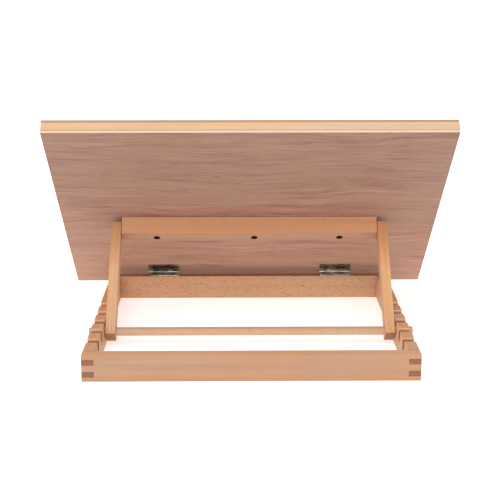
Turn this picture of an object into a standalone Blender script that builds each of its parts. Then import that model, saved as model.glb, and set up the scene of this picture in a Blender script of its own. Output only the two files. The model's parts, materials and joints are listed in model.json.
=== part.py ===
"""Wooden table easel: a base frame with slotted side rails, a tilting board and a hinged prop.

Metres, +Z up. X runs across the easel, -Y is the side the artist sits at, +Y is the rear.
The easel stands with its prop bar in the third slot from the rear.
"""
import math

import bmesh
import bpy
from mathutils import Vector

for old_object in list(bpy.data.objects):
    bpy.data.objects.remove(old_object, do_unlink=True)

# ---------------------------------------------------------------- driving dimensions
TILT = math.radians(42.4)        # board angle above the horizontal, as the easel stands

BASE_WIDTH = 0.366
BASE_DEPTH = 0.330
RAIL_THICK = 0.013
REAR_RAIL_THICK = 0.0155
RAIL_HIGH = 0.030
FINGER_HEIGHTS = (0.0052, 0.0060, 0.0076, 0.0060, 0.0052)    # in a corner joint, from the top

SLOT_COUNT = 5
SLOT_PITCH = 0.0346
FIRST_SLOT = 0.0521              # rear face to the first slot's seat
REST_SLOT = 2                    # the slot the bar lies in, counted from the rear, from 0
SEAT_DROP = 0.0127               # rail top to the centre of the seated bar
SLOT_RADIUS = 0.0053
REAR_WALL_LEAN = math.radians(14)
FRONT_WALL_LEAN = math.radians(2)

BOARD_WIDTH = 0.462
BOARD_LENGTH = 0.360
BOARD_OVERHANG = 0.0305          # part of the board below the hinge line
BACK_SKIN = 0.0034
FRONT_SKIN = 0.0030
BOARD_CORE = 0.0100
FRAME_STRIP = 0.030
HINGE_STRIP = 0.040
LEDGE_WIDE = 0.012
LEDGE_HIGH = 0.009
LEDGE_LENGTH = 0.400

CROSSBAR_WIDE = 0.020            # along the board
CROSSBAR_DEEP = 0.0223           # out from the board's back
CROSSBAR_HALF = 0.1569
CROSSBAR_TOP = 0.144             # hinge line to its upper face, along the board
CROSSBAR_SCREWS = (0.114, -0.006, -0.111)
SCREW_ROW = 0.1313                # hinge line to the row of crossbar screws

ARM_THICK = 0.0115
ARM_DEEP = 0.019
ARM_FOOT = 0.0075                # arm past the centre of the bar
ARM_HEAD = 0.0050                # arm past its pivot, short enough to clear the board's back
PIVOT_UP = 0.1362                # hinge line to the arms' pivot, along the board
PIVOT_OUT = 0.0135               # board's back to the arms' pivot
BAR_RADIUS = 0.005
BAR_LENGTH = 0.379
BAR_SHIFT = -0.0009              # the bar lies a little to one side in the arms

HINGE_WIDE = 0.040
HINGE_PLACES = (("right", 0.1127), ("left", -0.115))         # middle of each hinge
LEAF_THICK = 0.0011
BASE_LEAF_REACH = 0.0125         # hinge line to the base leaf's far edge, inside the rail's top
BOARD_LEAF_REACH = 0.0165        # hinge line to the board leaf's far edge
PIN_RADIUS = 0.0009
PIN_BORE = 0.00115
KNUCKLES = 5
HINGE_SCREW_STEP = 0.022         # spacing of the two screws in a leaf
BASE_SCREW_IN = 0.0076           # hinge line to the screws in the base leaf
BOARD_SCREW_IN = 0.0095          # hinge line to the screws in the board leaf

GAP = 0.0003                     # between neighbouring pieces
FINE = 48                        # sides of a round piece
COARSE = 24                      # sides of a small round piece

# ---------------------------------------------------------------- worked-out places
KNUCKLE_RADIUS = PIN_BORE + LEAF_THICK
HINGE_HIGH = RAIL_HIGH + GAP + KNUCKLE_RADIUS
BACK_OFFSET = KNUCKLE_RADIUS + GAP          # hinge line to the board's back
BOARD_THICK = BACK_SKIN + BOARD_CORE + FRONT_SKIN + 2 * GAP
BOARD_LOW = -BOARD_OVERHANG
BOARD_HIGH = BOARD_LENGTH - BOARD_OVERHANG
CORE_LOW = BACK_OFFSET + BACK_SKIN + GAP
CORE_HIGH = CORE_LOW + BOARD_CORE

FRONT_REACH = (BOARD_OVERHANG * math.cos(TILT)
               + (BACK_OFFSET + BOARD_THICK + LEDGE_HIGH) * math.sin(TILT))
REAR_FACE = (BASE_DEPTH + FRONT_REACH) / 2
FRONT_FACE = REAR_FACE - BASE_DEPTH
HALF_WIDTH = BASE_WIDTH / 2
INNER_HALF = HALF_WIDTH - RAIL_THICK

SEAT_Z = RAIL_HIGH - SEAT_DROP
SEATS = [REAR_FACE - FIRST_SLOT - SLOT_PITCH * i for i in range(SLOT_COUNT)]

PIVOT_LOCAL = Vector((0, PIVOT_UP, BACK_OFFSET - PIVOT_OUT))
PIVOT_Y = FRONT_FACE + PIVOT_LOCAL.y * math.cos(TILT) - PIVOT_LOCAL.z * math.sin(TILT)
PIVOT_Z = HINGE_HIGH + PIVOT_LOCAL.y * math.sin(TILT) + PIVOT_LOCAL.z * math.cos(TILT)
BAR_Y = SEATS[REST_SLOT]
ARM_LENGTH = math.hypot(BAR_Y - PIVOT_Y, SEAT_Z - PIVOT_Z)
ARM_ANGLE = math.atan2(SEAT_Z - PIVOT_Z, BAR_Y - PIVOT_Y)
ARM_INNER = CROSSBAR_HALF + 0.0004
ARM_OUTER = ARM_INNER + ARM_THICK

# ---------------------------------------------------------------- collections and empties
easel = bpy.data.collections.new("artist_easel")
bpy.context.scene.collection.children.link(easel)
cutters = bpy.data.collections.new("cutters")
bpy.context.scene.collection.children.link(cutters)


def make_empty(name, location, turn, parent=None):
    empty = bpy.data.objects.new(name, None)
    empty.empty_display_size = 0.02
    empty.parent = parent
    empty.location = location
    empty.rotation_euler = (turn, 0, 0)
    easel.objects.link(empty)
    return empty


# The board's frame: X across, Y up the board, Z out of the face that carries the paper.
board_hinge = make_empty("board_hinge", (0, FRONT_FACE, HINGE_HIGH), TILT)
# The prop's frame: Y from the pivot to the bar.
prop_pivot = make_empty("prop_pivot", PIVOT_LOCAL, ARM_ANGLE - TILT, board_hinge)


# ---------------------------------------------------------------- helpers
def make_material(name, colour, roughness, metallic=0.0):
    material = bpy.data.materials.new(name)
    material.use_nodes = True
    shader = material.node_tree.nodes["Principled BSDF"]
    shader.inputs["Base Color"].default_value = (*colour, 1)
    shader.inputs["Roughness"].default_value = roughness
    shader.inputs["Metallic"].default_value = metallic
    return material


def finish_mesh(bm, name, material=None, parent=None, smooth=False):
    """Turn a bmesh into an object: a part if it has a material, otherwise a cutter."""
    bmesh.ops.recalc_face_normals(bm, faces=bm.faces)
    mesh = bpy.data.meshes.new(name)
    bm.to_mesh(mesh)
    bm.free()
    made = bpy.data.objects.new(name, mesh)
    made.parent = parent
    if material is None:
        made.hide_render = True
        made.display_type = "WIRE"
        cutters.objects.link(made)
    else:
        mesh.materials.append(material)
        easel.objects.link(made)
    if smooth:
        for face in mesh.polygons:
            face.use_smooth = True
        mesh.set_sharp_from_angle(angle=math.radians(40))
    return made


def add_box(bm, low, high):
    made = bmesh.ops.create_cube(bm, size=1)["verts"]
    for vert in made:
        for axis in range(3):
            vert.co[axis] = high[axis] if vert.co[axis] > 0 else low[axis]


def add_prism(bm, outline, axis, start, end):
    """Close an outline into a face and push it along X (0) or Y (1)."""
    ends = []
    for place in (start, end):
        ring = []
        for a, b in outline:
            spot = (place, a, b) if axis == 0 else (a, place, b)
            ring.append(bm.verts.new(spot))
        ends.append(ring)
    bm.faces.new(ends[0])
    bm.faces.new(list(reversed(ends[1])))
    count = len(outline)
    for i in range(count):
        j = (i + 1) % count
        bm.faces.new((ends[0][i], ends[0][j], ends[1][j], ends[1][i]))


def add_turned(bm, profile, centre, direction, sides):
    """A turned solid: profile is a list of (distance along the axis, radius)."""
    along = Vector(direction).normalized()
    across = along.orthogonal().normalized()
    up = along.cross(across)
    rings = []
    for distance, radius in profile:
        ring = []
        for i in range(sides):
            angle = 2 * math.pi * i / sides
            spoke = across * math.cos(angle) + up * math.sin(angle)
            ring.append(bm.verts.new(Vector(centre) + along * distance + spoke * radius))
        rings.append(ring)
    bm.faces.new(list(reversed(rings[0])))
    bm.faces.new(rings[-1])
    for lower, upper in zip(rings, rings[1:]):
        for i in range(sides):
            j = (i + 1) % sides
            bm.faces.new((lower[i], lower[j], upper[j], upper[i]))


def arc(centre, radius, start, end, steps):
    points = []
    for i in range(steps + 1):
        angle = math.radians(start + (end - start) * i / steps)
        points.append((centre[0] + radius * math.cos(angle), centre[1] + radius * math.sin(angle)))
    return points


def cut(target, cutter):
    step = target.modifiers.new("cut_" + cutter.name, "BOOLEAN")
    step.operation = "DIFFERENCE"
    step.solver = "EXACT"
    step.object = cutter


def unite(target, other):
    step = target.modifiers.new("join_" + other.name, "BOOLEAN")
    step.operation = "UNION"
    step.solver = "EXACT"
    step.object = other


def round_edges(target, width, chosen=None):
    """Round the edges whose middle passes the test, or every sharp edge without one."""
    step = target.modifiers.new("rounding", "BEVEL")
    step.width = width
    step.segments = 2
    if chosen is None:
        step.limit_method = "ANGLE"
        step.angle_limit = math.radians(40)
        return
    step.limit_method = "WEIGHT"
    mesh = target.data
    weights = mesh.attributes.new("bevel_weight_edge", "FLOAT", "EDGE")
    for edge in mesh.edges:
        first, second = (mesh.vertices[v].co for v in edge.vertices)
        weights.data[edge.index].value = 1.0 if chosen(first, second) else 0.0


def near(value, target):
    return abs(value - target) < 1e-5


# ---------------------------------------------------------------- materials
beech_rail = make_material("beech_rail", (0.62, 0.36, 0.21), 0.55)
beech_prop = make_material("beech_prop", (0.74, 0.47, 0.24), 0.5)
beech_bar = make_material("beech_bar", (0.74, 0.48, 0.28), 0.5)
beech_crossbar = make_material("beech_crossbar", (0.56, 0.28, 0.17), 0.55)
beech_lipping = make_material("beech_lipping", (0.80, 0.55, 0.36), 0.5)
veneer_back = make_material("veneer_back", (0.38, 0.21, 0.15), 0.6)
veneer_front = make_material("veneer_front", (0.62, 0.40, 0.24), 0.45)
bronzed_steel = make_material("bronzed_steel", (0.16, 0.11, 0.08), 0.4, 1.0)
screw_steel = make_material("screw_steel", (0.30, 0.27, 0.24), 0.35, 1.0)

# ---------------------------------------------------------------- base frame
JOINT_DEPTH = RAIL_THICK + GAP
REAR_JOINT_DEPTH = REAR_RAIL_THICK + GAP


def finger_end(place, inward, first_out, depth=JOINT_DEPTH):
    """Outline points down one end of a rail, from its top to its bottom.

    A finger that is out reaches the corner's outer face, the others stop short of the
    neighbouring rail. Two fingers that meet keep a gap, half of it on each side.
    """
    points = []
    back = place + inward * depth
    last = len(FINGER_HEIGHTS) - 1
    top = RAIL_HIGH
    for i, height in enumerate(FINGER_HEIGHTS):
        out = (i % 2 == 0) == first_out
        low = top - height if i < last else 0.0
        shrink = GAP / 2 if out else -GAP / 2
        upper = top if i == 0 else top - shrink
        lower = low if i == last else low + shrink
        edge = place if out else back
        points.append((edge, upper))
        points.append((edge, lower))
        top = low
    return points


def slot_outline(seat_y):
    """Points across one slot, from its front lip down round the seat to its rear lip."""
    rear_turn = 360 - math.degrees(REAR_WALL_LEAN)
    front_turn = 180 + math.degrees(FRONT_WALL_LEAN)
    seat = arc((seat_y, SEAT_Z), SLOT_RADIUS, front_turn, rear_turn, 14)
    front_lip = seat[0][0] - (RAIL_HIGH - seat[0][1]) * math.tan(FRONT_WALL_LEAN)
    rear_lip = seat[-1][0] + (RAIL_HIGH - seat[-1][1]) * math.tan(REAR_WALL_LEAN)
    return [(front_lip, RAIL_HIGH)] + seat + [(rear_lip, RAIL_HIGH)]


side_outline = []
for seat in reversed(SEATS):
    side_outline += slot_outline(seat)
side_outline += finger_end(REAR_FACE, -1, False, REAR_JOINT_DEPTH)
side_outline += list(reversed(finger_end(FRONT_FACE, 1, False)))


def along_side_rail(first, second):
    """Long edges, slot lips and slot edges of a side rail, without its corner joints."""
    inner_end = FRONT_FACE + JOINT_DEPTH - 1e-5
    outer_end = REAR_FACE - REAR_JOINT_DEPTH + 1e-5
    inside = inner_end <= min(first.y, second.y) and max(first.y, second.y) <= outer_end
    flat_run = near(first.x, second.x)
    upright_at_joint = near(first.y, second.y) and (
        near(first.y, inner_end + 1e-5) or near(first.y, outer_end - 1e-5))
    return inside and flat_run and not upright_at_joint


for name, side in (("right", 1), ("left", -1)):
    bm = bmesh.new()
    inner = side * INNER_HALF
    outer = side * HALF_WIDTH
    add_prism(bm, side_outline, 0, min(inner, outer), max(inner, outer))
    rail = finish_mesh(bm, name + "_side_rail", beech_rail)
    round_edges(rail, 0.0005, along_side_rail)


def along_cross_rail(first, second):
    """Top and bottom edges of a front or rear rail."""
    level = near(first.z, second.z) and (near(first.z, 0) or near(first.z, RAIL_HIGH))
    return level and near(first.y, second.y)


cross_outline = finger_end(HALF_WIDTH, -1, True) + list(reversed(finger_end(-HALF_WIDTH, 1, True)))
cross_rails = {}
for name, low, high in (("rear_rail", REAR_FACE - REAR_RAIL_THICK, REAR_FACE),
                        ("front_rail", FRONT_FACE, FRONT_FACE + RAIL_THICK)):
    bm = bmesh.new()
    add_prism(bm, cross_outline, 1, low, high)
    rail = finish_mesh(bm, name, beech_rail)
    round_edges(rail, 0.0006, along_cross_rail)
    cross_rails[name] = rail

# ---------------------------------------------------------------- board
CORE_HALF = BOARD_WIDTH / 2


def board_slab(name, low, high, material, rounding=None):
    bm = bmesh.new()
    add_box(bm, low, high)
    slab = finish_mesh(bm, name, material, board_hinge)
    if rounding:
        round_edges(slab, rounding)
    return slab


back_panel = board_slab(
    "back_panel", (-CORE_HALF, BOARD_LOW, BACK_OFFSET),
    (CORE_HALF, BOARD_HIGH, BACK_OFFSET + BACK_SKIN), veneer_back, 0.0004)
front_panel = board_slab(
    "front_panel", (-CORE_HALF, BOARD_LOW, CORE_HIGH + GAP),
    (CORE_HALF, BOARD_HIGH, CORE_HIGH + GAP + FRONT_SKIN), veneer_front, 0.0004)
top_strip = board_slab(
    "top_frame_strip", (-CORE_HALF, BOARD_HIGH - FRAME_STRIP, CORE_LOW),
    (CORE_HALF, BOARD_HIGH, CORE_HIGH), beech_lipping)
bottom_strip = board_slab(
    "bottom_frame_strip", (-CORE_HALF, BOARD_LOW, CORE_LOW),
    (CORE_HALF, BOARD_LOW + HINGE_STRIP, CORE_HIGH), beech_lipping)
STRIP_LOW = BOARD_LOW + HINGE_STRIP + GAP
STRIP_HIGH = BOARD_HIGH - FRAME_STRIP - GAP
for name, side in (("right", 1), ("left", -1)):
    edges = sorted((side * CORE_HALF, side * (CORE_HALF - FRAME_STRIP)))
    board_slab(name + "_frame_strip", (edges[0], STRIP_LOW, CORE_LOW),
               (edges[1], STRIP_HIGH, CORE_HIGH), beech_lipping)
INNER_CORE = CORE_HALF - FRAME_STRIP - GAP
batten = board_slab(
    "inner_batten", (-INNER_CORE, CROSSBAR_TOP - CROSSBAR_WIDE - 0.006, CORE_LOW),
    (INNER_CORE, CROSSBAR_TOP + 0.006, CORE_HIGH), beech_lipping)
LEDGE_BACK = CORE_HIGH + 2 * GAP + FRONT_SKIN
ledge = board_slab(
    "paper_ledge", (-LEDGE_LENGTH / 2, BOARD_LOW, LEDGE_BACK),
    (LEDGE_LENGTH / 2, BOARD_LOW + LEDGE_WIDE, LEDGE_BACK + LEDGE_HIGH), beech_lipping, 0.001)

CROSSBAR_BACK = BACK_OFFSET - GAP
crossbar = board_slab(
    "crossbar", (-CROSSBAR_HALF, CROSSBAR_TOP - CROSSBAR_WIDE, CROSSBAR_BACK - CROSSBAR_DEEP),
    (CROSSBAR_HALF, CROSSBAR_TOP, CROSSBAR_BACK), beech_crossbar)
round_edges(crossbar, 0.0004)

# Crossbar screws: each sits at the bottom of a counterbore and ends in the inner batten.
COUNTERBORE = 0.0041
COUNTERBORE_DEEP = 0.010
HEAD_RADIUS = 0.0035
HEAD_HIGH = 0.002
SHANK_RADIUS = 0.0016
face_z = CROSSBAR_BACK - CROSSBAR_DEEP
head_z = face_z + COUNTERBORE_DEEP
screw_end = CORE_HIGH - 0.0025
bm = bmesh.new()
for x in CROSSBAR_SCREWS:
    add_turned(bm, [(-0.001, COUNTERBORE), (COUNTERBORE_DEEP + GAP, COUNTERBORE)],
               (x, SCREW_ROW, face_z), (0, 0, 1), COARSE)
counterbores = finish_mesh(bm, "crossbar_counterbores", None, board_hinge)
bm = bmesh.new()
for x in CROSSBAR_SCREWS:
    add_turned(bm, [(head_z - 0.001, SHANK_RADIUS + GAP), (screw_end + GAP, SHANK_RADIUS + GAP)],
               (x, SCREW_ROW, 0), (0, 0, 1), COARSE)
screw_holes = finish_mesh(bm, "crossbar_screw_holes", None, board_hinge)
cut(crossbar, counterbores)
cut(crossbar, screw_holes)
cut(back_panel, screw_holes)
cut(batten, screw_holes)


def cross_recess(name, centre, direction, parent, size):
    """Cutter for the cross in a screw head, its arms square to the screw."""
    bm = bmesh.new()
    for wide, tall in ((size, size / 4), (size / 4, size)):
        half = Vector((wide / 2, tall / 2, size * 0.3))
        if abs(direction[0]) > 0.5:
            half = Vector((size * 0.3, wide / 2, tall / 2))
        add_box(bm, Vector(centre) - half, Vector(centre) + half)
    return finish_mesh(bm, name, None, parent)


def cut_cross(screw, recess):
    step = screw.modifiers.new("cut_" + recess.name, "BOOLEAN")
    step.operation = "DIFFERENCE"
    step.solver = "EXACT"
    step.use_self = True
    step.object = recess


for number, x in enumerate(CROSSBAR_SCREWS, 1):
    name = f"crossbar_screw_{number}"
    profile = [(head_z - HEAD_HIGH, HEAD_RADIUS * 0.8), (head_z - HEAD_HIGH * 0.5, HEAD_RADIUS),
               (head_z, HEAD_RADIUS), (head_z, SHANK_RADIUS),
               (screw_end - 0.002, SHANK_RADIUS), (screw_end, SHANK_RADIUS * 0.2)]
    bm = bmesh.new()
    add_turned(bm, profile, (x, SCREW_ROW, 0), (0, 0, 1), COARSE)
    screw = finish_mesh(bm, name, screw_steel, board_hinge, True)
    recess = cross_recess(name + "_recess", (x, SCREW_ROW, head_z - HEAD_HIGH), (0, 0, 1),
                          board_hinge, 0.003)
    cut_cross(screw, recess)

# ---------------------------------------------------------------- hinges
LEAF_START = KNUCKLE_RADIUS + 0.0003     # leaf edge between its own knuckles
KNUCKLE_STEP = HINGE_WIDE / KNUCKLES
HINGE_SCREW_LENGTH = 0.010
HINGE_HEAD = 0.0026
HINGE_SHANK = 0.0013


def knuckle_outline(up):
    """Round knuckle and the strap to its leaf; up is 1 for the board's leaf, -1 for the base's."""
    turn = math.degrees(math.asin(PIN_BORE / KNUCKLE_RADIUS))
    points = [(LEAF_START + 0.001, up * KNUCKLE_RADIUS)]
    points += arc((0, 0), KNUCKLE_RADIUS, up * 90, up * (360 + turn), 20)
    points.append((LEAF_START + 0.001, up * PIN_BORE))
    return points


def make_leaf(name, x_mid, up, first_knuckle, reach, parent, shift):
    """One hinge leaf with its knuckles. shift moves it from the pin's axis into place."""
    bm = bmesh.new()
    zs = sorted((up * PIN_BORE, up * KNUCKLE_RADIUS))
    half = HINGE_WIDE / 2
    add_box(bm, (x_mid - half, LEAF_START, zs[0]), (x_mid + half, reach, zs[1]))
    leaf = finish_mesh(bm, name, bronzed_steel, parent)
    leaf.location = shift
    bm = bmesh.new()
    for i in range(first_knuckle, KNUCKLES, 2):
        start = x_mid - half + i * KNUCKLE_STEP
        low = start + (GAP / 2 if i > 0 else 0)
        high = start + KNUCKLE_STEP - (GAP / 2 if i < KNUCKLES - 1 else 0)
        add_prism(bm, knuckle_outline(up), 0, low, high)
    knuckles = finish_mesh(bm, name + "_knuckles", None, parent)
    knuckles.location = shift
    unite(leaf, knuckles)
    bm = bmesh.new()
    add_turned(bm, [(-half - 0.001, PIN_BORE - 0.00002), (half + 0.001, PIN_BORE - 0.00002)],
               (x_mid, 0, 0), (1, 0, 0), COARSE)
    bore = finish_mesh(bm, name + "_bore", None, parent)
    bore.location = shift
    cut(leaf, bore)
    return leaf


hinge_top = Vector((0, FRONT_FACE, HINGE_HIGH))
for name, x_mid in HINGE_PLACES:
    base_leaf = make_leaf(name + "_hinge_base_leaf", x_mid, -1, 0, BASE_LEAF_REACH,
                          None, hinge_top)
    board_leaf = make_leaf(name + "_hinge_board_leaf", x_mid, 1, 1, BOARD_LEAF_REACH,
                           board_hinge, (0, 0, 0))

    bm = bmesh.new()
    half = HINGE_WIDE / 2
    add_turned(bm, [(-half, PIN_RADIUS * 0.8), (-half + 0.0003, PIN_RADIUS),
                    (half - 0.0003, PIN_RADIUS), (half, PIN_RADIUS * 0.8)],
               (x_mid, 0, 0), (1, 0, 0), COARSE)
    pin = finish_mesh(bm, name + "_hinge_pin", bronzed_steel, None, True)
    pin.location = hinge_top

    for number, place in enumerate((-1, 1), 1):
        x = x_mid + place * HINGE_SCREW_STEP / 2
        # Base leaf: the screw points down into the front rail.
        y = BASE_SCREW_IN
        inner_face = -PIN_BORE
        profile = [(inner_face, HINGE_HEAD), (inner_face - 0.0002, HINGE_HEAD),
                   (inner_face - 0.0002 - (HINGE_HEAD - HINGE_SHANK) * 0.7, HINGE_SHANK),
                   (inner_face - HINGE_SCREW_LENGTH + 0.002, HINGE_SHANK),
                   (inner_face - HINGE_SCREW_LENGTH, HINGE_SHANK * 0.25)]
        room = [(inner_face + 0.001, HINGE_HEAD + 0.00025),
                (inner_face - 0.0003, HINGE_HEAD + 0.00025),
                (inner_face - 0.0003 - (HINGE_HEAD - HINGE_SHANK) * 0.7, HINGE_SHANK + 0.0002),
                (inner_face - HINGE_SCREW_LENGTH - 0.0005, HINGE_SHANK + 0.0002)]
        screw_name = f"{name}_base_leaf_screw_{number}"
        bm = bmesh.new()
        add_turned(bm, profile, (x, y, 0), (0, 0, 1), COARSE)
        screw = finish_mesh(bm, screw_name, screw_steel, None, True)
        screw.location = hinge_top
        recess = cross_recess(screw_name + "_recess", (x, y, inner_face), (0, 0, 1), None, 0.0024)
        recess.location = hinge_top
        cut_cross(screw, recess)
        bm = bmesh.new()
        add_turned(bm, room, (x, y, 0), (0, 0, 1), COARSE)
        hole = finish_mesh(bm, screw_name + "_room", None, None)
        hole.location = hinge_top
        cut(base_leaf, hole)
        cut(cross_rails["front_rail"], hole)

        # Board leaf: the same screw, turned over, into the board's lower strip.
        y = BOARD_SCREW_IN
        screw_name = f"{name}_board_leaf_screw_{number}"
        bm = bmesh.new()
        add_turned(bm, profile, (0, 0, 0), (0, 0, 1), COARSE)
        screw = finish_mesh(bm, screw_name, screw_steel, board_hinge, True)
        screw.location = (x, y, 0)
        screw.rotation_euler = (math.pi, 0, 0)
        recess = cross_recess(screw_name + "_recess", (x, y, PIN_BORE), (0, 0, 1), board_hinge, 0.0024)
        cut_cross(screw, recess)
        bm = bmesh.new()
        add_turned(bm, room, (0, 0, 0), (0, 0, 1), COARSE)
        hole = finish_mesh(bm, screw_name + "_room", None, board_hinge)
        hole.location = (x, y, 0)
        hole.rotation_euler = (math.pi, 0, 0)
        cut(board_leaf, hole)
        cut(back_panel, hole)
        cut(bottom_strip, hole)

# ---------------------------------------------------------------- prop
PIVOT_SHANK = 0.002
PIVOT_HEAD = 0.0035
PIVOT_HEAD_HIGH = 0.0028
PIVOT_IN = 0.026                 # length of the pivot screw inside the crossbar
ARM_HALF = ARM_DEEP / 2

arm_outline = [(-ARM_HEAD, ARM_HALF), (-ARM_HEAD, -ARM_HALF),
               (ARM_LENGTH + ARM_FOOT, -ARM_HALF), (ARM_LENGTH + ARM_FOOT, ARM_HALF)]

bm = bmesh.new()
add_turned(bm, [(-BAR_LENGTH / 2, BAR_RADIUS - 0.0008), (-BAR_LENGTH / 2 + 0.0008, BAR_RADIUS),
                (BAR_LENGTH / 2 - 0.0008, BAR_RADIUS), (BAR_LENGTH / 2, BAR_RADIUS - 0.0008)],
           (0, 0, 0), (1, 0, 0), FINE)
bar = finish_mesh(bm, "prop_bar", beech_bar, prop_pivot, True)
bar.location = (BAR_SHIFT, ARM_LENGTH, 0)
bm = bmesh.new()
add_turned(bm, [(-HALF_WIDTH, BAR_RADIUS + 0.00025), (HALF_WIDTH, BAR_RADIUS + 0.00025)],
           (0, 0, 0), (1, 0, 0), FINE)
bar_holes = finish_mesh(bm, "prop_bar_holes", None, prop_pivot)
bar_holes.location = (0, ARM_LENGTH, 0)

for name, side in (("right", 1), ("left", -1)):
    bm = bmesh.new()
    xs = sorted((side * ARM_INNER, side * ARM_OUTER))
    add_prism(bm, arm_outline, 0, xs[0], xs[1])
    arm = finish_mesh(bm, name + "_arm", beech_prop, prop_pivot, True)
    round_edges(arm, 0.0005)

    head_out = ARM_OUTER - 0.0005
    head_in = head_out - PIVOT_HEAD_HIGH
    tip = CROSSBAR_HALF - PIVOT_IN
    outward = (side, 0, 0)
    bm = bmesh.new()
    add_turned(bm, [(tip, PIVOT_SHANK * 0.3), (tip + 0.003, PIVOT_SHANK), (head_in, PIVOT_SHANK),
                    (head_in, PIVOT_HEAD), (head_out - 0.0008, PIVOT_HEAD),
                    (head_out, PIVOT_HEAD * 0.75)], (0, 0, 0), outward, COARSE)
    screw = finish_mesh(bm, name + "_pivot_screw", screw_steel, board_hinge, True)
    screw.location = PIVOT_LOCAL
    recess = cross_recess(name + "_pivot_recess", (side * head_out, 0, 0), outward, board_hinge, 0.0040)
    recess.location = PIVOT_LOCAL
    cut_cross(screw, recess)

    bm = bmesh.new()
    add_turned(bm, [(tip - 0.0005, PIVOT_SHANK + 0.0003), (ARM_OUTER + 0.001, PIVOT_SHANK + 0.0003)],
               (0, 0, 0), outward, COARSE)
    shank_room = finish_mesh(bm, name + "_pivot_hole", None, board_hinge)
    shank_room.location = PIVOT_LOCAL
    bm = bmesh.new()
    add_turned(bm, [(head_in - GAP, PIVOT_HEAD + 0.0004), (ARM_OUTER + 0.001, PIVOT_HEAD + 0.0004)],
               (0, 0, 0), outward, COARSE)
    head_room = finish_mesh(bm, name + "_pivot_head_room", None, board_hinge)
    head_room.location = PIVOT_LOCAL
    cut(arm, shank_room)
    cut(arm, head_room)
    cut(arm, bar_holes)
    cut(crossbar, shank_room)
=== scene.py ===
import json
import math

import bpy
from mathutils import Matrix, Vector

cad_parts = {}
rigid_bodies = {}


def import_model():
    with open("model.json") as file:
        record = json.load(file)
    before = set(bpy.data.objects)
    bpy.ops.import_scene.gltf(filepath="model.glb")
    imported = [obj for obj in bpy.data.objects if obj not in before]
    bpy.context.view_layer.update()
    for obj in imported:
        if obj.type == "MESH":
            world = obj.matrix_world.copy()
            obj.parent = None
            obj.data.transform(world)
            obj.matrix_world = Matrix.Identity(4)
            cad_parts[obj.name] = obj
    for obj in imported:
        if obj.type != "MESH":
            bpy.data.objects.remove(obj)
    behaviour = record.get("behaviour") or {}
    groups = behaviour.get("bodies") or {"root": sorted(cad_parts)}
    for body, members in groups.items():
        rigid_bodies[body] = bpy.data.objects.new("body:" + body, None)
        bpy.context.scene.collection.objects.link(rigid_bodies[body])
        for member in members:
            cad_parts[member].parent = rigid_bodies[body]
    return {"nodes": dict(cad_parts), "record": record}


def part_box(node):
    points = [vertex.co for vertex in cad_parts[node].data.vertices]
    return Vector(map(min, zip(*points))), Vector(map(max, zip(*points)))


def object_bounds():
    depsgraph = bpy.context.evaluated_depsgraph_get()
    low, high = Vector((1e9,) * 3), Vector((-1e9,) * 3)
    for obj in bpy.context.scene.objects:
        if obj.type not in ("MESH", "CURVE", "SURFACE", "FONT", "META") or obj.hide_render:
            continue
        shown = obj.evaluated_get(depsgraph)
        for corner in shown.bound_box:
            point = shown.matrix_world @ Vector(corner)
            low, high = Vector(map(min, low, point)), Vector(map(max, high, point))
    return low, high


for leftover in list(bpy.data.objects):
    bpy.data.objects.remove(leftover, do_unlink=True)

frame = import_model()
cad_low, cad_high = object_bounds()
nodes = frame["nodes"]
record = frame["record"]

# ---------------------------------------------------------------- directions of the wood
joints = {joint["name"]: joint for joint in record["behaviour"]["joints"]}
mounts = {mount["name"]: mount for mount in record["mounts"]}
paper_normal = Vector(mounts["paper_face"]["axis"])
BOARD_TURN = math.atan2(-paper_normal.y, paper_normal.z)
bar_low, bar_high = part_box("prop_bar")
arm_line = (bar_low + bar_high) / 2 - Vector(joints["prop_swing"]["pos_m"])
ARM_TURN = math.atan2(arm_line.z, arm_line.y)

# Distances up the board from the world's origin, to its foot and from there to its head.
board_low, board_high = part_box("back_panel")
BOARD_FOOT = board_low.y * math.cos(BOARD_TURN) + board_low.z * math.sin(BOARD_TURN)
BOARD_REACH = (board_high - board_low).dot(Vector((0, math.cos(BOARD_TURN), math.sin(BOARD_TURN))))

# Each turn brings a piece's grain onto the texture's X axis.
ACROSS = (0, 0, 0)
ALONG_SIDE = (0, 0, -math.pi / 2)
BOARD_ACROSS = (-BOARD_TURN, 0, 0)
BOARD_UP = (-BOARD_TURN, 0, -math.pi / 2)
ARM_DOWN = (-ARM_TURN, 0, -math.pi / 2)


# ---------------------------------------------------------------- sizes of details in the wood
BORE_REACH = 0.0046              # a screw hole's wall lies within this of its middle
SLOT_SHADE_DEPTH = 0.005        # depth in which a slot's face goes from painted light to painted shade
HEAD_SHADE_FADES_OVER = 0.1            # length in which the painted shade on an arm's head turns pale
VENEER_SWAY = 0.034              # how far the veneer's grain wanders up and down the board
PLIES_PER_METRE = 870
RELIEF = 0.0002                  # depth of the grain's relief in wood
DRAWN_RELIEF = 0.00005           # depth of the drawn marks in steel


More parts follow.
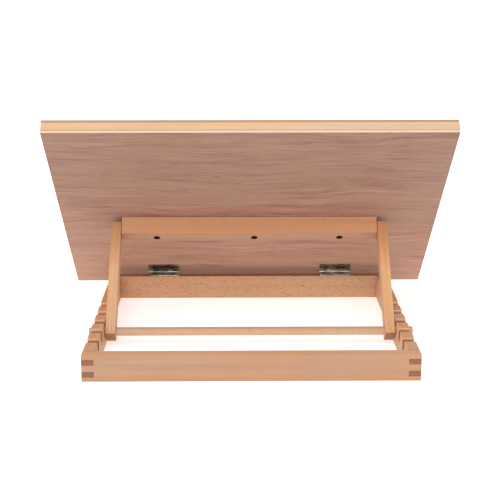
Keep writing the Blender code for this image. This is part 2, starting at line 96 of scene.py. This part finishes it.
# ---------------------------------------------------------------- node helpers
class Nodes:
    """A material's node tree, with one short call for each kind of node used here."""

    def __init__(self, name):
        self.material = bpy.data.materials.new(name)
        self.material.use_nodes = True
        self.tree = self.material.node_tree
        self.shader = self.tree.nodes["Principled BSDF"]
        self.coordinates = self.tree.nodes.new("ShaderNodeTexCoord")

    def feed(self, socket, value):
        if isinstance(value, bpy.types.NodeSocket):
            self.tree.links.new(value, socket)
        else:
            socket.default_value = value

    def mapping(self, vector, scale=(1, 1, 1), turn=(0, 0, 0), shift=(0, 0, 0)):
        node = self.tree.nodes.new("ShaderNodeMapping")
        self.feed(node.inputs["Vector"], vector)
        node.inputs["Location"].default_value = shift
        node.inputs["Rotation"].default_value = turn
        node.inputs["Scale"].default_value = scale
        return node.outputs["Vector"]

    def noise(self, vector, detail=3.0, roughness=0.5, distortion=0.0):
        node = self.tree.nodes.new("ShaderNodeTexNoise")
        self.feed(node.inputs["Vector"], vector)
        node.inputs["Scale"].default_value = 1.0
        node.inputs["Detail"].default_value = detail
        node.inputs["Roughness"].default_value = roughness
        node.inputs["Distortion"].default_value = distortion
        return node.outputs["Fac"]

    def rings(self, vector, distortion=4.0):
        node = self.tree.nodes.new("ShaderNodeTexWave")
        node.wave_type = "BANDS"
        node.bands_direction = "Y"
        node.wave_profile = "SAW"
        self.feed(node.inputs["Vector"], vector)
        node.inputs["Scale"].default_value = 1.0
        node.inputs["Distortion"].default_value = distortion
        node.inputs["Detail"].default_value = 3.0
        node.inputs["Detail Scale"].default_value = 0.6
        return node.outputs["Fac"]

    def ramp(self, value, stops):
        node = self.tree.nodes.new("ShaderNodeValToRGB")
        self.feed(node.inputs["Fac"], value)
        first, last = stops[0], stops[-1]
        node.color_ramp.elements[0].position = first[0]
        node.color_ramp.elements[0].color = self.grey(first[1])
        node.color_ramp.elements[1].position = last[0]
        node.color_ramp.elements[1].color = self.grey(last[1])
        for place, colour in stops[1:-1]:
            stop = node.color_ramp.elements.new(place)
            stop.color = self.grey(colour)
        return node.outputs["Color"]

    @staticmethod
    def grey(colour):
        if isinstance(colour, (int, float)):
            return (colour, colour, colour, 1)
        return (*colour[:3], 1)

    def mix(self, amount, first, second, blend="MIX"):
        node = self.tree.nodes.new("ShaderNodeMix")
        node.data_type = "RGBA"
        node.blend_type = blend
        self.feed(node.inputs[0], amount)
        for socket, value in ((node.inputs[6], first), (node.inputs[7], second)):
            if isinstance(value, (tuple, list)):
                value = self.grey(value)
            self.feed(socket, value)
        return node.outputs[2]

    def maths(self, operation, first, second=0.0):
        node = self.tree.nodes.new("ShaderNodeMath")
        node.operation = operation
        self.feed(node.inputs[0], first)
        self.feed(node.inputs[1], second)
        return node.outputs[0]

    def facing(self, direction):
        """How squarely the surface faces along a direction fixed in the piece, 0 to 1."""
        node = self.tree.nodes.new("ShaderNodeVectorMath")
        node.operation = "DOT_PRODUCT"
        self.feed(node.inputs[0], self.coordinates.outputs["Normal"])
        node.inputs[1].default_value = direction
        return self.maths("ABSOLUTE", node.outputs["Value"])

    def scaled(self, colour, factor):
        node = self.tree.nodes.new("ShaderNodeVectorMath")
        node.operation = "SCALE"
        self.feed(node.inputs[0], colour)
        node.inputs["Scale"].default_value = factor
        return node.outputs["Vector"]

    def near_axis(self, centre, direction, reach):
        """1 where the surface lies within a distance of a line through the piece, else 0."""
        away = self.tree.nodes.new("ShaderNodeVectorMath")
        away.operation = "SUBTRACT"
        self.feed(away.inputs[0], self.coordinates.outputs["Object"])
        away.inputs[1].default_value = centre
        around = self.tree.nodes.new("ShaderNodeVectorMath")
        around.operation = "CROSS_PRODUCT"
        self.feed(around.inputs[0], away.outputs["Vector"])
        around.inputs[1].default_value = direction
        length = self.tree.nodes.new("ShaderNodeVectorMath")
        length.operation = "LENGTH"
        self.feed(length.inputs[0], around.outputs["Vector"])
        return self.maths("LESS_THAN", length.outputs["Value"], reach)

    def bump(self, height, strength, distance):
        node = self.tree.nodes.new("ShaderNodeBump")
        node.inputs["Strength"].default_value = strength
        node.inputs["Distance"].default_value = distance
        self.feed(node.inputs["Height"], height)
        return node.outputs["Normal"]


def grain_direction(turn):
    """The direction, in the piece, that a turn brings onto the texture's X axis."""
    if turn[2] == 0:
        return (1, 0, 0)
    return (0, math.cos(-turn[0]), math.sin(-turn[0]))


def beech(name, turn, seed, pale, deep, end, roughness=0.5, rings=0.3, flecking=0.5, fleck_size=1.0,
          slots=None, sides=None, bores=None, head=None):
    """Oiled beech: soft rings, fine fibres, short dark ray flecks and darker end grain.

    slots is (low, high, top) for a slotted rail: between low and high along the grain the slots'
    faces are pale at the top, painted light, and darken below it, painted shade. sides is
    (direction, brightness) for the faces square to a direction: painted light where the brightness
    is above 1, painted shade where it is below 1. bores are points in the screw holes, whose walls
    are dark with painted shade. head is the place along the grain where a darker end, painted
    shade, begins to turn pale. All four are chosen tones of painted light and shade, not the
    wood's own colour.
    """
    wood = Nodes(name)
    place = wood.coordinates.outputs["Object"]
    placed = wood.mapping(place, turn=turn, shift=(seed * 0.37, seed * 0.11, seed * 0.23))
    broad = wood.noise(wood.mapping(placed, (3, 34, 34)), 2.0, 0.5, 0.4)
    streaks = wood.noise(wood.mapping(placed, (3.5, 230, 230)), 4.0, 0.62)
    fibres = wood.noise(wood.mapping(placed, (16, 760, 760)), 4.0, 0.65)
    ring = wood.rings(wood.mapping(placed, (0.9, 34, 17)), 5.0)
    fleck_scale = (330 / fleck_size, 1700 / fleck_size, 1700 / fleck_size)
    flecks = wood.noise(wood.mapping(placed, fleck_scale), 1.0, 0.4)
    fleck_mask = wood.ramp(flecks, ((0.62, 0.0), (0.70, 1.0)))
    tone = wood.mix(0.45, wood.ramp(broad, ((0.32, 0.0), (0.70, 1.0))),
                    wood.ramp(fibres, ((0.3, 0.0), (0.7, 1.0))))
    tone = wood.mix(0.4, tone, wood.ramp(streaks, ((0.32, 0.0), (0.68, 1.0))))
    tone = wood.mix(rings, tone, ring)
    colour = wood.mix(tone, deep, pale)
    drift = wood.noise(wood.mapping(placed, (5, 95, 95), shift=(3, 1, 2)), 2.0)
    tint = wood.ramp(drift, ((0.36, (1.05, 0.97, 0.86)), (0.64, (0.97, 1.01, 1.10))))
    colour = wood.mix(1.0, colour, tint, "MULTIPLY")
    fleck_colour = (deep[0] * 0.66, deep[1] * 0.54, deep[2] * 0.46)
    colour = wood.mix(wood.maths("MULTIPLY", fleck_mask, flecking), colour, fleck_colour)
    # Painted shade: an arm's end near the board is darkened, turning pale along the grain.
    if head is not None:
        along = wood.tree.nodes.new("ShaderNodeSeparateXYZ")
        wood.feed(along.inputs[0], wood.mapping(place, turn=turn))
        past = wood.maths("MULTIPLY", wood.maths("SUBTRACT", along.outputs["X"], head),
                          1 / HEAD_SHADE_FADES_OVER)
        darker = wood.ramp(past, ((0.0, (0.74, 0.62, 0.53)), (0.25, (0.80, 0.69, 0.61)),
                                  (0.62, (0.97, 0.93, 0.91))))
        colour = wood.mix(1.0, colour, darker, "MULTIPLY")
    # Painted light and shade: faces square to a direction are made brighter where the factor is
    # above 1 and darker where it is below 1.
    if sides:
        square_on = wood.ramp(wood.facing(sides[0]), ((0.45, 0.0), (0.75, 1.0)))
        side_light_and_shade = wood.scaled(colour, sides[1])
        colour = wood.mix(square_on, colour, side_light_and_shade)
    on_end = wood.ramp(wood.facing(grain_direction(turn)), ((0.75, 0.0), (0.95, 1.0)))
    pores = wood.noise(wood.mapping(placed, (900, 900, 900)), 2.0, 0.6)
    end_grain = wood.mix(wood.ramp(pores, ((0.35, 0.0), (0.65, 1.0))),
                         tuple(channel * 0.72 for channel in end), end)
    # Painted light and shade in the slots: their faces are pale at the top and darken with depth.
    if slots:
        apart = wood.tree.nodes.new("ShaderNodeSeparateXYZ")
        wood.feed(apart.inputs[0], place)
        after = wood.maths("GREATER_THAN", apart.outputs["Y"], slots[0])
        before = wood.maths("LESS_THAN", apart.outputs["Y"], slots[1])
        depth = wood.maths("MULTIPLY", wood.maths("SUBTRACT", slots[2], apart.outputs["Z"]),
                           1 / SLOT_SHADE_DEPTH)
        slot_light_and_shade = wood.ramp(depth, ((0.12, pale), (0.5, deep), (0.72, end)))
        end_grain = wood.mix(wood.maths("MULTIPLY", after, before), end_grain,
                             slot_light_and_shade)
    colour = wood.mix(on_end, colour, end_grain)
    # Painted shade: the walls of the screw holes are coloured near black.
    if bores:
        in_shaded_bore = 0.0
        for centre in bores:
            in_shaded_bore = wood.maths("MAXIMUM", in_shaded_bore, wood.near_axis(centre, paper_normal,
                                                                   BORE_REACH))
        across_bore = wood.ramp(wood.facing(paper_normal), ((0.5, 1.0), (0.8, 0.0)))
        colour = wood.mix(wood.maths("MULTIPLY", in_shaded_bore, across_bore), colour,
                          (0.06, 0.022, 0.012))
    wood.feed(wood.shader.inputs["Base Color"], colour)
    shine = wood.ramp(fibres, ((0.2, roughness - 0.07), (0.8, roughness + 0.1)))
    wood.feed(wood.shader.inputs["Roughness"], shine)
    wood.shader.inputs["Specular IOR Level"].default_value = 0.35
    relief = wood.mix(0.35, fibres, wood.maths("SUBTRACT", 1.0, fleck_mask))
    wood.feed(wood.shader.inputs["Normal"], wood.bump(relief, 0.25, RELIEF))
    return wood.material


def veneer(name, turn, seed, pale, deep, tint, edge, roughness=0.6, fade=(1.0, 1.0)):
    """Plywood: wavy fine grain with blotches on its face, glued layers on its edges.

    fade is the face's brightness at the board's lower and upper edge, a chosen tone that is
    painted shade where it is below 1.
    """
    wood = Nodes(name)
    placed = wood.mapping(wood.coordinates.outputs["Object"], turn=turn,
                          shift=(seed * 0.37, seed * 0.11, seed * 0.23))
    sway = wood.noise(wood.mapping(placed, (7, 12, 12)), 2.0)
    lift = wood.tree.nodes.new("ShaderNodeCombineXYZ")
    wood.feed(lift.inputs["Y"], wood.maths("MULTIPLY", sway, VENEER_SWAY))
    shifted = wood.tree.nodes.new("ShaderNodeVectorMath")
    shifted.operation = "ADD"
    wood.feed(shifted.inputs[0], placed)
    wood.feed(shifted.inputs[1], lift.outputs["Vector"])
    swayed = shifted.outputs["Vector"]
    streaks = wood.noise(wood.mapping(swayed, (11, 190, 190)), 5.0, 0.7)
    fibres = wood.noise(wood.mapping(swayed, (24, 700, 700)), 3.0, 0.6)
    blotches = wood.noise(wood.mapping(placed, (11, 26, 26)), 3.0, 0.55, 0.6)
    dashes = wood.noise(wood.mapping(swayed, (85, 900, 900)), 0.0)
    dash_mask = wood.ramp(dashes, ((0.70, 0.0), (0.78, 1.0)))
    tone = wood.mix(0.25, wood.ramp(streaks, ((0.34, 0.0), (0.66, 1.0))),
                    wood.ramp(fibres, ((0.3, 0.0), (0.7, 1.0))))
    colour = wood.mix(tone, deep, pale)
    colour = wood.mix(wood.ramp(blotches, ((0.38, 0.0), (0.64, 0.7))), colour, tint)
    colour = wood.mix(wood.maths("MULTIPLY", dash_mask, 0.45), colour,
                      tuple(channel * 0.6 for channel in deep))
    # Painted shade: the face darkens towards the board's upper edge by the fade factors.
    board = wood.tree.nodes.new("ShaderNodeSeparateXYZ")
    wood.feed(board.inputs[0], wood.mapping(wood.coordinates.outputs["Object"], turn=turn))
    up = wood.maths("DIVIDE", wood.maths("SUBTRACT", board.outputs["Y"], BOARD_FOOT), BOARD_REACH)
    colour = wood.mix(1.0, colour, wood.ramp(up, ((0.1, fade[0]), (0.75, fade[1]))), "MULTIPLY")
    normal = (0, -math.sin(BOARD_TURN), math.cos(BOARD_TURN))
    on_edge = wood.ramp(wood.facing(normal), ((0.35, 1.0), (0.6, 0.0)))
    apart = wood.tree.nodes.new("ShaderNodeSeparateXYZ")
    wood.feed(apart.inputs[0], wood.mapping(placed, (1, 1, PLIES_PER_METRE)))
    layer = wood.maths("FRACT", apart.outputs["Z"])
    layers = wood.mix(wood.ramp(layer, ((0.42, 0.0), (0.5, 1.0), (0.92, 1.0), (1.0, 0.0))),
                      edge, tuple(channel * 0.86 for channel in edge))
    colour = wood.mix(on_edge, colour, layers)
    wood.feed(wood.shader.inputs["Base Color"], colour)
    shine = wood.ramp(streaks, ((0.2, roughness - 0.06), (0.8, roughness + 0.1)))
    wood.feed(wood.shader.inputs["Roughness"], shine)
    wood.shader.inputs["Specular IOR Level"].default_value = 0.3
    relief = wood.mix(0.3, fibres, wood.maths("SUBTRACT", 1.0, dash_mask))
    wood.feed(wood.shader.inputs["Normal"], wood.bump(relief, 0.22, RELIEF))
    return wood.material


def steel(name, bright, dark, roughness):
    """Plated steel with drawn marks along X, tarnish in patches and a slight unevenness."""
    metal = Nodes(name)
    place = metal.coordinates.outputs["Object"]
    drawn = metal.noise(metal.mapping(place, (60, 1800, 1800)), 3.0, 0.6)
    tarnish = metal.noise(metal.mapping(place, (70, 420, 420)), 3.0, 0.55, 0.4)
    tone = metal.mix(0.3, metal.ramp(tarnish, ((0.42, 0.0), (0.60, 1.0))), drawn)
    metal.feed(metal.shader.inputs["Base Color"], metal.mix(tone, dark, bright))
    metal.shader.inputs["Metallic"].default_value = 1.0
    shine = metal.ramp(tarnish, ((0.3, roughness - 0.08), (0.75, roughness + 0.14)))
    metal.feed(metal.shader.inputs["Roughness"], shine)
    metal.feed(metal.shader.inputs["Normal"], metal.bump(drawn, 0.07, DRAWN_RELIEF))
    return metal.material


# ---------------------------------------------------------------- materials on the pieces
RAIL = dict(pale=(0.80, 0.48, 0.275), deep=(0.54, 0.29, 0.15), end=(0.31, 0.125, 0.065))
# The rear rail's tones are darker than the side rails', painted shade on its face, and its top
# faces are painted light, 1.42 times brighter.
REAR = dict(pale=(0.59, 0.345, 0.205), deep=(0.38, 0.205, 0.115), end=(0.28, 0.115, 0.065),
            flecking=0.25, sides=((0, 0, 1), 1.42))
# The front rail's tones are darker than the side rails', painted shade under the board, and its top
# faces are darker again, 0.7 times, painted shade.
FRONT = dict(pale=(0.67, 0.395, 0.225), deep=(0.46, 0.25, 0.13), end=(0.32, 0.14, 0.08),
             flecking=0.85, fleck_size=1.5, sides=((0, 0, 1), 0.7))
# The arms carry painted shade at their ends near the board, starting at the pivot.
ARM = dict(pale=(0.84, 0.53, 0.305), deep=(0.61, 0.35, 0.17), end=(0.38, 0.165, 0.08),
           head=Vector(joints["prop_swing"]["pos_m"]).dot(grain_direction(ARM_DOWN)))
BAR = dict(pale=(0.66, 0.45, 0.29), deep=(0.48, 0.295, 0.18), end=(0.45, 0.23, 0.13))
# Painted shade: the crossbar's faces square to the board's face are 0.74 times darker.
CROSS = dict(pale=(0.70, 0.37, 0.20), deep=(0.51, 0.255, 0.13), end=(0.38, 0.18, 0.10),
             sides=(tuple(paper_normal), 0.74))
LIPPING = dict(pale=(0.83, 0.555, 0.355), deep=(0.58, 0.365, 0.215), end=(0.50, 0.27, 0.15),
               flecking=0.15)

END_MARGIN = 0.001               # keeps the finger joints' end grain out of the slots' tones
rail_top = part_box("left_side_rail")[1].z
front_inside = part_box("front_rail")[1].y
rear_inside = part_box("rear_rail")[0].y
# The side rails' slots carry painted light at the top of their faces and painted shade below it.
SLOTTED = (front_inside + END_MARGIN, rear_inside - END_MARGIN, rail_top)
SIDE = dict(RAIL, slots=SLOTTED)

screw_places = []
for number in (1, 2, 3):
    screw_low, screw_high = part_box(f"crossbar_screw_{number}")
    screw_places.append(tuple((screw_low + screw_high) / 2))
# The crossbar's screw holes carry painted shade on their walls.
CROSSPIECE = dict(CROSS, bores=screw_places)

BEECH_PIECES = (
    ("rear_rail", ACROSS, REAR), ("front_rail", ACROSS, FRONT),
    ("left_side_rail", ALONG_SIDE, SIDE), ("right_side_rail", ALONG_SIDE, SIDE),
    ("left_arm", ARM_DOWN, ARM), ("right_arm", ARM_DOWN, ARM),
    ("prop_bar", ACROSS, BAR), ("crossbar", BOARD_ACROSS, CROSSPIECE),
    ("top_frame_strip", BOARD_ACROSS, LIPPING), ("bottom_frame_strip", BOARD_ACROSS, LIPPING),
    ("left_frame_strip", BOARD_UP, LIPPING), ("right_frame_strip", BOARD_UP, LIPPING),
    ("inner_batten", BOARD_ACROSS, LIPPING), ("paper_ledge", BOARD_ACROSS, LIPPING),
)


def dress(node, material):
    slots = nodes[node].data.materials
    slots.clear()
    slots.append(material)


for number, (node, turn, tones) in enumerate(BEECH_PIECES, 1):
    dress(node, beech("beech_" + node, turn, number, **tones))

# The back panel carries painted shade, 0.70 times darker at its upper edge.
dress("back_panel", veneer("veneer_back", BOARD_ACROSS, 3, pale=(0.61, 0.345, 0.26),
                           deep=(0.31, 0.15, 0.10), tint=(0.46, 0.285, 0.19),
                           edge=(0.86, 0.60, 0.435), fade=(1.0, 0.70)))
dress("front_panel", veneer("veneer_front", BOARD_ACROSS, 8, pale=(0.72, 0.455, 0.275),
                            deep=(0.50, 0.29, 0.16), tint=(0.64, 0.41, 0.24),
                            edge=(0.48, 0.30, 0.18), roughness=0.45))

hinge_steel = steel("bronzed_steel", bright=(0.74, 0.67, 0.59), dark=(0.07, 0.055, 0.04),
                    roughness=0.28)
screw_metal = steel("screw_steel", bright=(0.30, 0.26, 0.22), dark=(0.10, 0.08, 0.065),
                    roughness=0.36)
for node in nodes:
    if "screw" in node:
        dress(node, screw_metal)
    elif "hinge" in node:
        dress(node, hinge_steel)

# ---------------------------------------------------------------- floor and light
FLOOR_REACH = 30.0
FLOOR_DROP = 0.0002              # keeps the floor clear of the rails' undersides
FLOOR_GLOW = 0.52                # the floor is a lit white table, which also lights the underside
SKY_STRENGTH = 0.62
floor_mesh = bpy.data.meshes.new("floor")
floor_mesh.from_pydata(
    [(-FLOOR_REACH, -FLOOR_REACH, 0), (FLOOR_REACH, -FLOOR_REACH, 0),
     (FLOOR_REACH, FLOOR_REACH, 0), (-FLOOR_REACH, FLOOR_REACH, 0)], [], [(0, 1, 2, 3)])
floor = bpy.data.objects.new("floor", floor_mesh)
bpy.context.scene.collection.objects.link(floor)
floor.location.z = cad_low.z - FLOOR_DROP
pale_floor = Nodes("pale_floor")
pale_floor.shader.inputs["Base Color"].default_value = (0.93, 0.93, 0.93, 1)
pale_floor.shader.inputs["Roughness"].default_value = 0.9
pale_floor.shader.inputs["Specular IOR Level"].default_value = 0.1
pale_floor.shader.inputs["Emission Color"].default_value = (1.0, 1.0, 1.0, 1)
pale_floor.shader.inputs["Emission Strength"].default_value = FLOOR_GLOW
floor_mesh.materials.append(pale_floor.material)

world = bpy.data.worlds.new("studio")
bpy.context.scene.world = world
world.use_nodes = True
sky = world.node_tree.nodes["Background"]
sky.inputs["Color"].default_value = (1.0, 1.0, 1.0, 1)
sky.inputs["Strength"].default_value = SKY_STRENGTH


def soft_sun(name, strength, spread, aim_from):
    light = bpy.data.lights.new(name, "SUN")
    light.energy = strength
    light.angle = math.radians(spread)
    lamp = bpy.data.objects.new(name, light)
    bpy.context.scene.collection.objects.link(lamp)
    lamp.rotation_euler = Vector(aim_from).to_track_quat("Z", "Y").to_euler()


soft_sun("key", 1.25, 50, (0.2, 0.85, 0.66))
soft_sun("fill", 0.35, 90, (0.0, 0.15, 1.0))

# ---------------------------------------------------------------- camera
LENS = 86.7
CAMERA_PLACE = (0.0150, 1.4098, 0.4572)
CAMERA_DOWN = 14.256             # degrees below level
CAMERA_ASIDE = 0.625             # degrees off straight on to the easel's back
camera_data = bpy.data.cameras.new("camera")
camera_data.lens = LENS
camera_data.sensor_width = 36.0
camera_data.clip_end = 100.0
camera = bpy.data.objects.new("camera", camera_data)
bpy.context.scene.collection.objects.link(camera)
camera.location = CAMERA_PLACE
camera.rotation_euler = (math.radians(90 - CAMERA_DOWN), 0, math.radians(180 - CAMERA_ASIDE))
bpy.context.scene.camera = camera

bpy.context.scene.view_settings.view_transform = "Standard"
